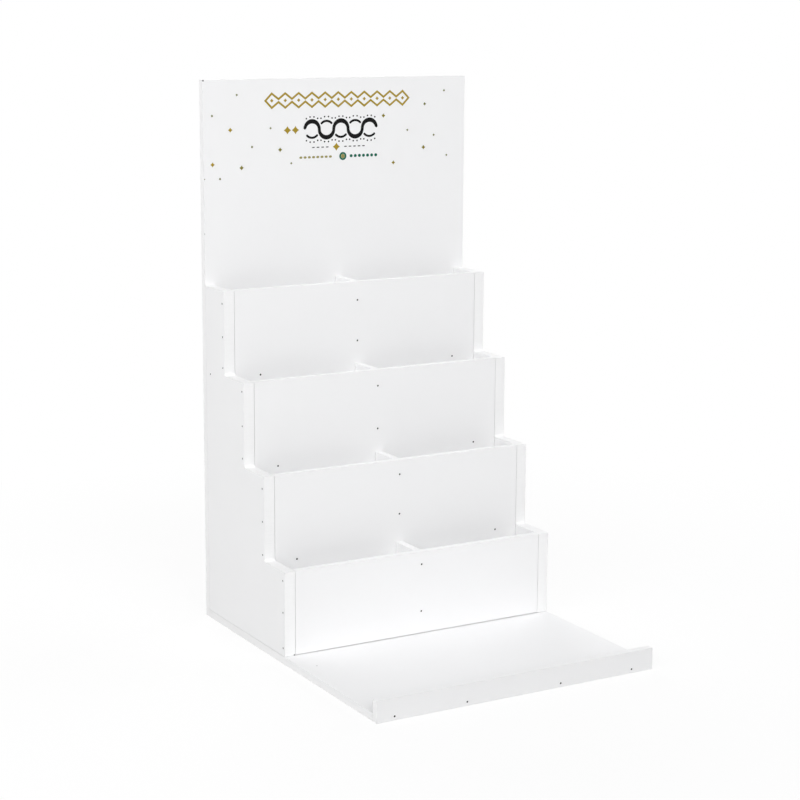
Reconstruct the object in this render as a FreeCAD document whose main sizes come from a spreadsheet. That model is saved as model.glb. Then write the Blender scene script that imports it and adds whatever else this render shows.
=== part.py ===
import FreeCAD, Part
import os
import Sketcher

# A four-tier counter stand for greeting cards: flat white boards, glued at their joints and nailed.
# Four front panels climb in steps between two stepped side panels, each with a pocket behind it that
# a divider parts in two. A base board runs forward under them as a deck, and ends in a low lip.
#
# All sizes are in millimetres. X runs across the stand, the front looks along -Y, and Z is up. The
# origin is on the surface that the stand rests on, under the middle of its outer box. Tier 1 is the
# highest, at the back, and a pocket has the number of the front panel that closes it.

BOARD_SIZES = (
    ("stand_width", 400),
    ("back_height", 726),
    ("back_thickness", 10),
    ("side_thickness", 15),
    ("base_thickness", 10),
    ("base_depth", 458),
    ("lip_thickness", 10),
    ("lip_height", 27.8),
    ("tier_depth", 57.3),
    ("tier_rise", 111.7),
    ("panel_thickness", 10),
    ("floor_thickness", 10),
    ("divider_thickness", 10),
    ("joint_gap", 0.4),
    ("foot_gap", 1),
    ("corner_radius", 3),
)

# One kind of nail holds the whole stand. Its head is flush with the board.
NAIL_SIZES = (
    ("nail_length", 30),
    ("nail_point", 2),
    ("shank_radius", 0.7),
    ("head_radius", 1.25),
    ("head_height", 0.8),
    ("floor_nail_lift", 2),
    ("floor_side_nail", 13),
    ("hidden_nail_inset", 100),
    ("hidden_nail_margin", 30),
)

# How far below each tier's top its nails sit, for the nails through the side panels and for those
# through the front panel into the divider. They were driven by hand, so no two tiers agree.
SIDE_NAIL_DROPS = ((17, 61, 102), (12, 57.5, 100.5), (16.5, 60, 104), (12, 54, 101))
DIVIDER_NAIL_DROPS = ((25, 80.5), (21.5, 80), (19.5, 73.5), (17, 81))

# How far to the right of the stand's middle each tier's divider nails are.
DIVIDER_NAIL_SHIFTS = (-1.3, -1.4, 0, 1)

# Places of each upper tier's nails into its floor, and of the lip's nails, counted in from the left
# edge, or from the right edge where negative.
FLOOR_NAIL_PLACES = ((52.5, -50.5), (49, -49.5), (47, -48.5))
LIP_NAIL_PLACES = (24, 124.5, -140, -32)

# Cut film on the header: sizes, and drops below the back panel's top edge.
PRINT_SIZES = (
    ("film_thickness", 0.15),
    ("garland_drop", 28.5),
    ("garland_radius", 11.3),
    ("garland_stroke", 2.6),
    ("garland_bead", 2.6),
    ("wave_drop", 68),
    ("wave_middle", 4),
    ("wave_radius", 11),
    ("wave_stroke", 5.2),
    ("wave_thin_stroke", 3),
    ("wave_dot_ring", 17),
    ("wave_dot_radius", 1.1),
    ("stitch_drop", 92),
    ("stitch_length", 4),
    ("stitch_width", 1.3),
    ("stitch_step", 7),
    ("footer_drop", 105),
    ("footer_step", 6.4),
    ("footer_length", 4.4),
    ("footer_olive_width", 3),
    ("footer_green_width", 4.2),
    ("footer_seal_radius", 5.5),
    ("footer_seal_core", 3),
    ("footer_seal_place", 7),
    ("small_diamond", 5.5),
    ("small_diamond_place", -71),
    ("small_diamond_spread", 6),
)
GARLAND_DIAMONDS = 11
WAVE_ARCS = 5
WAVE_THIN_START = 38
WAVE_DOT_ANGLES = (60, 80, 100, 120)
STITCH_STEPS = (-6, -5, -4, -3, 1, 2, 3, 4, 5)
FOOTER_OLIVE_STEPS = range(-10, -2)
FOOTER_GREEN_STEPS = range(2, 9)

# Scattered diamonds: place counted in from the left edge, or from the right edge where negative,
# drop below the header's top edge, and reach of each point.
CONFETTI = (
    (49, 20, 1.9), (13, 46.5, 2), (39, 65.5, 3.3), (98, 64.5, 1.8), (70.5, 88.5, 2),
    (112, 93.5, 3.1), (13, 110, 3.3), (128.5, 112, 1.8), (55, 115.5, 3.3), (23.5, 129, 1.9),
    (1.4, 128.5, 0.9), (-33.5, 19.5, 1.9), (-64.5, 37.5, 2.5), (-130, 52, 3), (-92, 72.5, 1.9),
    (-49.5, 80.5, 1.9), (-66, 97, 3.2), (-28.5, 109, 1.8), (-114, 116.5, 2.9),
)

TIERS = len(SIDE_NAIL_DROPS)
FRONT = FreeCAD.Vector(0, -1, 0)
BACK = FreeCAD.Vector(0, 1, 0)
LEFT = FreeCAD.Vector(-1, 0, 0)
RIGHT = FreeCAD.Vector(1, 0, 0)
UP = FreeCAD.Vector(0, 0, 1)

# Places that many boards share, written once as expressions of the sizes.
DEPTH = "(sizes.back_thickness + sizes.base_depth + sizes.lip_thickness)"
BACK_FACE = f"({DEPTH} / 2 - sizes.back_thickness)"
LIP_FACE = f"(-{DEPTH} / 2)"
INNER_WIDTH = "(sizes.stand_width - 2 * sizes.side_thickness)"
POCKET_DEPTH = "(sizes.tier_depth - sizes.panel_thickness)"

doc = FreeCAD.newDocument("card_stand")
sheet = doc.addObject("Spreadsheet::Sheet", "sizes")


def fill_sheet():
    """Write each driving size beside its name, under an alias."""
    rows = list(BOARD_SIZES + NAIL_SIZES + PRINT_SIZES)
    for tier in range(1, TIERS + 1):
        for count, drop in enumerate(SIDE_NAIL_DROPS[tier - 1], 1):
            rows.append((f"side_drop_{tier}_{count}", drop))
        for count, drop in enumerate(DIVIDER_NAIL_DROPS[tier - 1], 1):
            rows.append((f"divider_drop_{tier}_{count}", drop))
    for number, (name, size) in enumerate(rows, 1):
        sheet.set(f"A{number}", name)
        sheet.set(f"B{number}", str(size))
        sheet.setAlias(f"B{number}", name)
    doc.recompute()


def top(tier):
    """Height of a tier's top. One past the last tier is the top of the base board."""
    return f"(sizes.base_thickness + sizes.tier_rise * {TIERS + 1 - tier})"


def face(tier):
    """Y of a tier's front face. Tier 0 is the back panel's front face."""
    return f"({BACK_FACE} - sizes.tier_depth * {tier})"


def across(inset):
    """X of a place counted in from the left edge, or from the right edge where it is negative."""
    edge = "-sizes.stand_width / 2 +" if inset > 0 else "sizes.stand_width / 2 -"
    return f"({edge} {abs(inset)})"


def floor_middle(tier):
    """Height of the middle of a pocket's floor board, whose top is level with the next tier."""
    return f"({top(tier + 1)} - sizes.floor_thickness / 2)"


def bind(thing, **expressions):
    """Tie properties of an object to expressions of the sheet's sizes."""
    for name, expression in expressions.items():
        thing.setExpression(name, expression)


def place(thing, x, y, z, turn=FreeCAD.Rotation()):
    """Turn an object, and tie its place to three expressions."""
    thing.Placement = FreeCAD.Placement(FreeCAD.Vector(), turn)
    for axis, expression in zip("xyz", (x, y, z)):
        thing.setExpression(f"Placement.Base.{axis}", expression)


def box(name, low, size):
    """A flat board or strip, from the expressions of its lowest corner and its three sizes."""
    thing = doc.addObject("Part::Box", name)
    bind(thing, Length=size[0], Width=size[1], Height=size[2])
    place(thing, *low)
    return thing


def group(name, members):
    """Several objects as one, each still a solid of its own."""
    thing = doc.addObject("Part::Compound", name)
    thing.Links = members
    return thing


def cut(name, base, tool):
    """What is left of the base when the tool's solids are taken out of it."""
    thing = doc.addObject("Part::Cut", name)
    thing.Base = base
    thing.Tool = tool
    return thing


def origin_plane(body, role):
    """One of a body's own origin planes."""
    return [feature for feature in body.Origin.OriginFeatures if feature.Role == role][0]


def new_sketch(body, name, role):
    """An empty sketch on one of the body's origin planes."""
    sketch = body.newObject("Sketcher::SketchObject", name)
    sketch.AttachmentSupport = [(origin_plane(body, role), "")]
    sketch.MapMode = "FlatFace"
    return sketch


def hold(sketch, line, kind, size):
    """Hold the first end of a line on an axis, or at its distance from it."""
    if size == "0":
        axis = -2 if kind == "DistanceX" else -1
        sketch.addConstraint(Sketcher.Constraint("PointOnObject", line, 1, axis))
        return
    drawn = float(sheet.evalExpression(size))
    number = sketch.addConstraint(Sketcher.Constraint(kind, -1, 1, line, 1, drawn))
    sketch.setExpression(f"Constraints[{number}]", size)


def draw_outline(sketch, points):
    """A closed outline of straight lines through points given as pairs of expressions."""
    spots = [FreeCAD.Vector(float(sheet.evalExpression(x)), float(sheet.evalExpression(y)), 0)
             for x, y in points]
    count = len(points)
    for line in range(count):
        sketch.addGeometry(Part.LineSegment(spots[line], spots[(line + 1) % count]))
    for line, (x, y) in enumerate(points):
        sketch.addConstraint(Sketcher.Constraint("Coincident", line, 2, (line + 1) % count, 1))
        hold(sketch, line, "DistanceX", x)
        hold(sketch, line, "DistanceY", y)


def side_panel(name, x):
    """A stepped side board. Its outline is drawn forwards from the back panel and up from the base."""
    body = doc.addObject("PartDesign::Body", f"{name}_board")
    sketch = new_sketch(body, f"{name}_outline", "YZ_Plane")
    points = [("sizes.joint_gap", "sizes.joint_gap")]
    points.append((f"sizes.tier_depth * {TIERS}", "sizes.joint_gap"))
    for tier in range(TIERS, 0, -1):
        height = f"sizes.tier_rise * {TIERS + 1 - tier}"
        inner = "sizes.joint_gap" if tier == 1 else f"sizes.tier_depth * {tier - 1}"
        points.append((f"sizes.tier_depth * {tier}", height))
        points.append((inner, height))
    draw_outline(sketch, points)
    pad = body.newObject("PartDesign::Pad", f"{name}_pad")
    pad.Profile = sketch
    bind(pad, Length="sizes.side_thickness")
    doc.recompute()
    fillet = body.newObject("PartDesign::Fillet", f"{name}_inner_corners")
    fillet.Base = (pad, inner_corner_edges(pad.Shape))
    bind(fillet, Radius="sizes.corner_radius")
    place(body, x, BACK_FACE, "sizes.base_thickness", FreeCAD.Rotation(UP, 180))
    return body


def inner_corner_edges(shape):
    """Names of the edges in the notches of the steps, one for each tier but the first."""
    depth = sheet.tier_depth
    rise = sheet.tier_rise
    corners = [(depth * tier, rise * (TIERS - tier)) for tier in range(1, TIERS)]
    names = []
    for number, edge in enumerate(shape.Edges, 1):
        ends = [vertex.Point for vertex in edge.Vertexes]
        for forward, height in corners:
            if all(abs(end.y - forward) < 0.001 and abs(end.z - height) < 0.001 for end in ends):
                names.append(f"Edge{number}")
    return names


def front_panel(tier):
    """A front panel. It also backs the next pocket, so it runs down past that pocket's floor."""
    if tier + 1 < TIERS:
        bottom = f"({top(tier + 2)} - sizes.floor_thickness)"
    else:
        bottom = "(sizes.base_thickness + sizes.foot_gap)"
    low = (f"-{INNER_WIDTH} / 2 + sizes.joint_gap", face(tier), bottom)
    size = (f"{INNER_WIDTH} - 2 * sizes.joint_gap", "sizes.panel_thickness", f"{top(tier)} - {bottom}")
    return box(f"front_panel_{tier}_board", low, size)


def pocket_floor(tier):
    """The floor of one of the upper pockets, level with the top of the next tier."""
    low = (f"-{INNER_WIDTH} / 2 + sizes.joint_gap",
           f"{face(tier)} + sizes.panel_thickness + sizes.joint_gap",
           f"{top(tier + 1)} - sizes.floor_thickness")
    size = (f"{INNER_WIDTH} - 2 * sizes.joint_gap", f"{POCKET_DEPTH} - 2 * sizes.joint_gap",
            "sizes.floor_thickness")
    return box(f"pocket_floor_{tier}_board", low, size)


def centre_divider(tier):
    """The small board that parts a pocket in two, flush with the tier's top."""
    low = ("-sizes.divider_thickness / 2",
           f"{face(tier)} + sizes.panel_thickness + sizes.joint_gap",
           f"{top(tier + 1)} + sizes.joint_gap")
    size = ("sizes.divider_thickness", f"{POCKET_DEPTH} - 2 * sizes.joint_gap",
            "sizes.tier_rise - sizes.joint_gap")
    return box(f"centre_divider_{tier}_board", low, size)


def flat_boards():
    """The back panel, the base board that is also the deck, and the lip."""
    width = "sizes.stand_width"
    left = "-sizes.stand_width / 2"
    back = box("back_panel_board", (left, BACK_FACE, "0"),
               (width, "sizes.back_thickness", "sizes.back_height"))
    base = box("base_board_board",
               (left, f"{LIP_FACE} + sizes.lip_thickness + sizes.joint_gap", "0"),
               (width, "sizes.base_depth - 2 * sizes.joint_gap", "sizes.base_thickness"))
    lip = box("front_lip_board", (left, LIP_FACE, "0"), (width, "sizes.lip_thickness", "sizes.lip_height"))
    return {"back_panel": back, "base_board": base, "front_lip": lip}


def nail_body():
    """A nail with a small flat head and a point. It stands on its head and is driven along +Z."""
    body = doc.addObject("PartDesign::Body", "nail")
    sketch = new_sketch(body, "nail_outline", "XZ_Plane")
    shank_end = "sizes.nail_length - sizes.nail_point"
    draw_outline(sketch, [
        ("0", "0"), ("sizes.head_radius", "0"), ("sizes.head_radius", "sizes.head_height"),
        ("sizes.shank_radius", "sizes.head_height"), ("sizes.shank_radius", shank_end),
        ("0", "sizes.nail_length")])
    turned = body.newObject("PartDesign::Revolution", "nail_turned")
    turned.Profile = sketch
    turned.ReferenceAxis = (sketch, ["V_Axis"])
    turned.Angle = 360
    return body


def drive_nails(nail, name, direction, places):
    """A group of nails, driven one way, with the middle of each head at one of the places."""
    members = []
    for count, spot in enumerate(places, 1):
        link = doc.addObject("App::Link", f"{name}_{count}")
        link.LinkedObject = nail
        place(link, *spot, FreeCAD.Rotation(UP, direction))
        members.append(link)
    return group(name, members)


def pair(inset):
    """Two places across the stand, as far in from its left edge as from its right edge."""
    return (f"-(sizes.stand_width / 2 - {inset})", f"sizes.stand_width / 2 - {inset}")


def side_nail_places(x):
    """Nails through a side panel into the ends of the front panels and of the highest floor."""
    places = [(x, f"{BACK_FACE} - sizes.floor_side_nail", floor_middle(1))]
    for tier, drops in enumerate(SIDE_NAIL_DROPS, 1):
        for count in range(1, len(drops) + 1):
            depth = f"{face(tier)} + sizes.panel_thickness / 2"
            places.append((x, depth, f"{top(tier)} - sizes.side_drop_{tier}_{count}"))
    return places


def front_nail_places():
    """Nails through the front panels into the dividers and the front edges of the floors."""
    places = []
    for tier, drops in enumerate(DIVIDER_NAIL_DROPS, 1):
        x = str(DIVIDER_NAIL_SHIFTS[tier - 1])
        for count in range(1, len(drops) + 1):
            places.append((x, face(tier), f"{top(tier)} - sizes.divider_drop_{tier}_{count}"))
        if tier < TIERS:
            for inset in FLOOR_NAIL_PLACES[tier - 1]:
                height = f"{floor_middle(tier)} + sizes.floor_nail_lift"
                places.append((across(inset), face(tier), height))
    return places


def inner_nail_places():
    """Nails from behind a front panel into the back edge of the next pocket's floor."""
    places = []
    for tier in range(1, TIERS - 1):
        for x in pair("sizes.hidden_nail_inset"):
            places.append((x, f"{face(tier)} + sizes.panel_thickness", floor_middle(tier + 1)))
    return places


def back_nail_places():
    """Nails through the back panel into the side panels, the highest floor and the base board."""
    y = f"{BACK_FACE} + sizes.back_thickness"
    places = []
    for x in pair("sizes.side_thickness / 2"):
        for tier in range(1, TIERS + 1):
            places.append((x, y, f"{top(tier)} - sizes.hidden_nail_margin"))
    for x in pair("sizes.hidden_nail_inset"):
        places.append((x, y, floor_middle(1)))
        places.append((x, y, "sizes.base_thickness / 2"))
    return places


def base_nail_places():
    """Nails up through the base board into the side panels and the two panels that stand on it."""
    places = []
    for x in pair("sizes.side_thickness / 2"):
        places.append((x, f"{BACK_FACE} - sizes.hidden_nail_margin", "0"))
        places.append((x, f"{face(TIERS)} + sizes.hidden_nail_margin", "0"))
    for tier in (TIERS - 1, TIERS):
        for x in pair("sizes.hidden_nail_inset"):
            places.append((x, f"{face(tier)} + sizes.panel_thickness / 2", "0"))
    return places


def nail_groups():
    """All the nails, one group for each way that they are driven and what they hold."""
    nail = nail_body()
    lip = [(across(inset), LIP_FACE, "sizes.base_thickness / 2") for inset in LIP_NAIL_PLACES]
    return {
        "side_nails_left": drive_nails(nail, "left_nail", RIGHT, side_nail_places("-sizes.stand_width / 2")),
        "side_nails_right": drive_nails(nail, "right_nail", LEFT, side_nail_places("sizes.stand_width / 2")),
        "front_nails": drive_nails(nail, "front_nail", BACK, front_nail_places()),
        "inner_nails": drive_nails(nail, "inner_nail", FRONT, inner_nail_places()),
        "lip_nails": drive_nails(nail, "lip_nail", BACK, lip),
        "back_nails": drive_nails(nail, "back_nail", FRONT, back_nail_places()),
        "base_nails": drive_nails(nail, "base_nail", UP, base_nail_places()),
    }


def header_height(drop):
    """Height of a place that lies so far below the back panel's top edge."""
    return f"sizes.back_height - {drop}"


def film_bar(name, x, drop, length, width):
    """A small upright rectangle of film, centred on its place."""
    low = (f"{x} - {length} / 2", f"{BACK_FACE} - sizes.film_thickness",
           f"{header_height(drop)} - {width} / 2")
    return box(name, low, (length, "sizes.film_thickness", width))


def film_disc(name, x, drop, radius, start=0, sweep=360):
    """A disc of film, or a sector of one that starts at an angle and sweeps on from there."""
    thing = doc.addObject("Part::Cylinder", name)
    bind(thing, Radius=radius, Height="sizes.film_thickness")
    thing.Angle = sweep
    turn = FreeCAD.Rotation(UP, FRONT) * FreeCAD.Rotation(UP, start)
    place(thing, x, BACK_FACE, header_height(drop), turn)
    return thing


def film_diamond(name, x, drop, reach):
    """A square of film stood on its point."""
    thing = doc.addObject("Part::Prism", name)
    thing.Polygon = 4
    bind(thing, Circumradius=reach, Height="sizes.film_thickness")
    place(thing, x, BACK_FACE, header_height(drop), FreeCAD.Rotation(UP, FRONT))
    return thing


def garland():
    """A chain of outlined diamonds with a bead in each. The tips of neighbours run into each other."""
    inner = "sizes.garland_radius - sizes.garland_stroke * sqrt(2)"
    rings = []
    beads = []
    for count in range(GARLAND_DIAMONDS):
        steps = count - (GARLAND_DIAMONDS - 1) / 2
        x = f"{steps} * (2 * sizes.garland_radius - sizes.garland_stroke)"
        drop = "sizes.garland_drop"
        outer_shape = film_diamond(f"garland_outer_{count}", x, drop, "sizes.garland_radius")
        inner_shape = film_diamond(f"garland_inner_{count}", x, drop, inner)
        rings.append(cut(f"garland_ring_{count}", outer_shape, inner_shape))
        beads.append(film_diamond(f"garland_bead_{count}", x, drop, "sizes.garland_bead"))
    chain = doc.addObject("Part::MultiFuse", "garland_chain")
    chain.Shapes = rings
    return [chain] + beads


def confetti():
    """The scattered diamonds, the pair beside the wave, and the one that breaks the stitched line."""
    members = []
    for count, (inset, drop, reach) in enumerate(CONFETTI, 1):
        members.append(film_diamond(f"confetti_{count}", across(inset), str(drop), str(reach)))
    for side in "-+":
        x = f"sizes.small_diamond_place {side} sizes.small_diamond_spread"
        members.append(film_diamond("small_diamond", x, "sizes.wave_drop", "sizes.small_diamond"))
    members.append(film_diamond("stitch_diamond", "sizes.wave_middle - sizes.stitch_step",
                                "sizes.stitch_drop", "sizes.small_diamond"))
    return members


def wave_arc(name, x, stroke, start, sweep):
    """Part of a ring of film about the wave's middle line."""
    drop = "sizes.wave_drop"
    outer = film_disc(f"{name}_outer", x, drop, f"sizes.wave_radius + {stroke} / 2", start, sweep)
    inner = film_disc(f"{name}_inner", x, drop, f"sizes.wave_radius - {stroke} / 2")
    return cut(name, outer, inner)


def wave():
    """A bold wave of half rings, over and under in turn. A thin one goes the other way and breaks off
    where they would cross, and both have an arc of dots outside each half ring."""
    bold = []
    others = []
    for count in range(WAVE_ARCS):
        steps = count - (WAVE_ARCS - 1) / 2
        x = f"(sizes.wave_middle + {steps} * 2 * sizes.wave_radius)"
        bold_start = 0 if count % 2 == 0 else 180
        thin_start = 180 - bold_start + WAVE_THIN_START
        bold.append(wave_arc(f"bold_arc_{count}", x, "sizes.wave_stroke", bold_start, 180))
        others.append(wave_arc(f"thin_arc_{count}", x, "sizes.wave_thin_stroke", thin_start,
                               180 - 2 * WAVE_THIN_START))
        for start in (0, 180):
            for angle in WAVE_DOT_ANGLES:
                turned = angle + start
                dot_x = f"{x} + sizes.wave_dot_ring * cos({turned} deg)"
                dot_drop = f"(sizes.wave_drop - sizes.wave_dot_ring * sin({turned} deg))"
                others.append(film_disc(f"wave_dot_{count}_{turned}", dot_x, dot_drop,
                                        "sizes.wave_dot_radius"))
    line = doc.addObject("Part::MultiFuse", "wave_line")
    line.Shapes = bold
    return [line] + others


def dashes(name, middle, drop, step, steps, length, width):
    """A row of small bars, at whole steps from its middle."""
    return [film_bar(f"{name}_{count}", f"({middle} + {place_in_row} * {step})", drop, length, width)
            for count, place_in_row in enumerate(steps, 1)]


def footer_row(name, steps, width):
    """Half of the header's last line."""
    return dashes(name, "sizes.footer_seal_place", "sizes.footer_drop", "sizes.footer_step", steps,
                  "sizes.footer_length", width)


def header_print():
    """The header's cut film, one group for each colour."""
    stitches = dashes("stitch", "sizes.wave_middle", "sizes.stitch_drop", "sizes.stitch_step", STITCH_STEPS,
                      "sizes.stitch_length", "sizes.stitch_width")
    seal_place = ("sizes.footer_seal_place", "sizes.footer_drop")
    seal = film_disc("seal_disc", *seal_place, "sizes.footer_seal_radius")
    seal_hole = film_disc("seal_hole", *seal_place, "sizes.footer_seal_core")
    core = film_disc("seal_core", *seal_place, "sizes.footer_seal_core")
    return {
        "header_print_gold": group("print_gold", garland() + confetti()),
        "header_print_black": group("print_black", wave() + stitches),
        "header_print_olive": group("print_olive", footer_row("olive_dash", FOOTER_OLIVE_STEPS,
                                                              "sizes.footer_olive_width") + [core]),
        "header_print_green": group("print_green", footer_row("green_dash", FOOTER_GREEN_STEPS,
                                                              "sizes.footer_green_width")
                                    + [cut("seal_ring", seal, seal_hole)]),
    }


def boards():
    """Every board before its nail holes, under the name of its node."""
    found = flat_boards()
    found["side_panel_left"] = side_panel("side_panel_left", "-sizes.stand_width / 2 + sizes.side_thickness")
    found["side_panel_right"] = side_panel("side_panel_right", "sizes.stand_width / 2")
    for tier in range(1, TIERS + 1):
        found[f"front_panel_{tier}"] = front_panel(tier)
        found[f"centre_divider_{tier}"] = centre_divider(tier)
        if tier < TIERS:
            found[f"pocket_floor_{tier}"] = pocket_floor(tier)
    return found


def build():
    """The whole stand, as a table of nodes."""
    fill_sheet()
    nodes = nail_groups()
    every_nail = group("every_nail", list(nodes.values()))
    for name, board in boards().items():
        nodes[name] = cut(f"{name}_drilled", board, every_nail)
    nodes.update(header_print())
    for name, node in nodes.items():
        node.Label = name
    doc.recompute()
    return nodes


def check_and_write(nodes):
    """Stop if anything failed, and otherwise write one file for each node."""
    for thing in doc.Objects:
        if "Invalid" in thing.State or "Error" in thing.State:
            raise RuntimeError(f"{thing.Name} failed: {thing.State}")
    for name, node in nodes.items():
        if node.Shape.isNull() or not node.Shape.isValid() or not node.Shape.Solids:
            raise RuntimeError(f"{name} has no sound shape")
    os.makedirs("parts", exist_ok=True)
    for name, node in nodes.items():
        node.Shape.exportStep(f"parts/{name}.step")
        print(name, "solids", len(node.Shape.Solids), "volume", round(node.Shape.Volume, 1))


check_and_write(build())
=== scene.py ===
# %% [markdown]
# A counter display for greeting cards, dressed for its picture.
#
# The stand is made of flat white boards of foamed plastic, cut square, set together in four steps and
# held by small dark nails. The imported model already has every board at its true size, with the narrow
# joints between them, so the boards stay as they are and only get a finish. What is worked out here is
# what a board cutter does not make: the nails, the printed film on the header, the room and the light.
#
# Everything is in metres, and the stand looks along -Y.

from math import cos, radians, sin

import bmesh
import bpy
import numpy as np
from mathutils import Matrix, Vector


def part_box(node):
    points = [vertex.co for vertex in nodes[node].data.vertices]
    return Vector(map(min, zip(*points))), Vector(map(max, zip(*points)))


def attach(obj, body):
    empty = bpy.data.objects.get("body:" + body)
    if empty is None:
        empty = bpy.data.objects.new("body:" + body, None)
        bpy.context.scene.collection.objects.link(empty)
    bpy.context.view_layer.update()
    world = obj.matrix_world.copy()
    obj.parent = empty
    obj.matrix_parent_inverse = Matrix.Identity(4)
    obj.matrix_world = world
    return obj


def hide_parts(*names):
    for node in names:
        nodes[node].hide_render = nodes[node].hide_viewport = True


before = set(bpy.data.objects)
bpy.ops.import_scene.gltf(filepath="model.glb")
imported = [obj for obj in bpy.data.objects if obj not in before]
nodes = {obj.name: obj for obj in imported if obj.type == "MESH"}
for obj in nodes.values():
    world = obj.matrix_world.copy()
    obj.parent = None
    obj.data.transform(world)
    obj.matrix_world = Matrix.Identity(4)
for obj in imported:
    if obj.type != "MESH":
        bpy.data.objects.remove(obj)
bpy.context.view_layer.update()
MM = 0.001

# %% [markdown]
# Where the boards are.
#
# The nails and the film sit on boards, so their places are read from the boards, and a taller or wider
# stand would carry them along. A front panel gives two numbers for its tier: the height of its top edge
# and the depth of its front face.

# %% Read the boards' places
TIERS = 4
left_edge, right_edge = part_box("back_panel")[0].x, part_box("back_panel")[1].x
header_face, header_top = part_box("back_panel")[0].y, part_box("back_panel")[1].z
back_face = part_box("back_panel")[1].y
panel_faces = [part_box(f"front_panel_{tier}")[0].y for tier in range(1, TIERS + 1)]
panel_tops = [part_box(f"front_panel_{tier}")[1].z for tier in range(1, TIERS + 1)]
panel_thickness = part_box("front_panel_1")[1].y - panel_faces[0]
floor_heights = [sum(corner.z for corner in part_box(f"pocket_floor_{tier}")) / 2 for tier in range(1, TIERS)]
print("panel faces", np.round(panel_faces, 4), "panel tops", np.round(panel_tops, 4))

# %% [markdown]
# From a table of points to a mesh.
#
# Each new piece starts as a table of points: rows along one parameter, columns along the other. The
# faces join each point to its neighbours in the table, and a table that runs round a tube joins its last
# column to its first. Where a whole row falls on one point, as at the tip of a nail, the doubled points
# are merged, so that the pole is closed and the piece is a solid skin.

# %% Grids of faces
def grid_faces(rows, columns, wrap_rows=False, wrap_columns=True):
    """Four corners of every cell: (row, column), the next column, both next, the next row."""
    row = np.arange(rows if wrap_rows else rows - 1)[:, None]
    column = np.arange(columns if wrap_columns else columns - 1)[None, :]
    below, beside = (row + 1) % rows, (column + 1) % columns
    corners = [row * columns + column, row * columns + beside, below * columns + beside,
               below * columns + column]
    return np.stack(np.broadcast_arrays(*corners), axis=-1).reshape(-1, 4)


def many_grids(points, **wrap):
    """Points as (pieces, rows, columns, 3) become one list of points and one of faces."""
    pieces, rows, columns = points.shape[:3]
    faces = grid_faces(rows, columns, **wrap)
    starts = np.arange(pieces)[:, None, None] * rows * columns
    return points.reshape(-1, 3), (faces[None] + starts).reshape(-1, 4)


# %% Build a piece and hang it on the stand
SAME_POINT, SMOOTH_BELOW = 1e-7, radians(35)


def build_piece(name, tables, stands_for, tint=None):
    """Joins tables of points into one closed mesh whose faces point outwards."""
    points, faces, count = [], [], 0
    for table_points, table_faces in tables:
        points.append(table_points)
        faces.append(table_faces + count)
        count += len(table_points)
    mesh = bpy.data.meshes.new(name)
    mesh.from_pydata(np.concatenate(points).tolist(), [], np.concatenate(faces).tolist())
    if tint is not None:
        mesh.attributes.new("tint", "FLOAT", "POINT").data.foreach_set("value", tint.astype(np.float32))
    shell = bmesh.new()
    shell.from_mesh(mesh)
    bmesh.ops.remove_doubles(shell, verts=shell.verts, dist=SAME_POINT)
    bmesh.ops.recalc_face_normals(shell, faces=shell.faces)
    shell.to_mesh(mesh)
    shell.free()
    mesh.shade_smooth()
    mesh.set_sharp_from_angle(angle=SMOOTH_BELOW)
    piece = bpy.data.objects.new(name, mesh)
    bpy.context.scene.collection.objects.link(piece)
    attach(piece, "root")
    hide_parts(*stands_for)
    print(name, "has", len(mesh.polygons), "faces")
    return piece


# %% [markdown]
# The shape of a nail.
#
# A nail is a body of revolution: a small flat head a little crowned, a few grip rings that the wire
# jaws leave under it, a smooth shank and a point. Cylinders and cones could be stacked up for it, but a
# single profile of radius against depth, turned round an axis, gives the crown and the rings as well, and
# makes one closed skin. The crown's top lies exactly in the board's face and its rim is sunk by a tenth
# of a millimetre, as a hammer leaves a nail in soft foam board.

# %% Turn the nail's profile
HEAD_RADIUS, HEAD_HEIGHT, SHANK_RADIUS, NAIL_LENGTH, POINT_LENGTH = np.array([1.25, 0.8, 0.7, 30, 2]) * MM
RIM_SINK, NECK, GRIP_START, GRIP_DEPTH, GRIP_PITCH = np.array([0.12, 0.1, 0.5, 0.06, 0.7]) * MM
RIM_CORNER, RIM_SIDE, HEAD_CORNER = np.array([0.04, 0.12, 0.05]) * MM
CROWN_END, CROWN_POINTS, GRIP_RINGS, TIP_POWER, NAIL_SIDES = 0.9, 6, 5, 1.3, 20


def nail_profile():
    """Radius against depth. The crown is a parabola, and the grip rings are a saw of two steps."""
    crown = np.linspace(0, CROWN_END, CROWN_POINTS)
    head_r = HEAD_RADIUS * np.concatenate([crown, [0.97, 1, 1, 0.98]])
    rim = [RIM_SINK + RIM_CORNER, RIM_SINK + RIM_SIDE, HEAD_HEIGHT - HEAD_CORNER, HEAD_HEIGHT]
    head_z = np.concatenate([RIM_SINK * crown ** 2, rim])
    steps = np.arange(2 * GRIP_RINGS)
    grip_r = SHANK_RADIUS - GRIP_DEPTH * (steps % 2)
    grip_z = HEAD_HEIGHT + GRIP_START + steps * GRIP_PITCH / 2
    tip = np.array([0, 0.5, 1])
    tip_r = SHANK_RADIUS * (1 - tip ** TIP_POWER)
    tip_z = NAIL_LENGTH - POINT_LENGTH * (1 - tip)
    radius = np.concatenate([head_r, [SHANK_RADIUS], grip_r, [SHANK_RADIUS], tip_r])
    depth = np.concatenate([head_z, [HEAD_HEIGHT + NECK], grip_z, [grip_z[-1] + GRIP_PITCH], tip_z])
    return radius, depth


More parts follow.
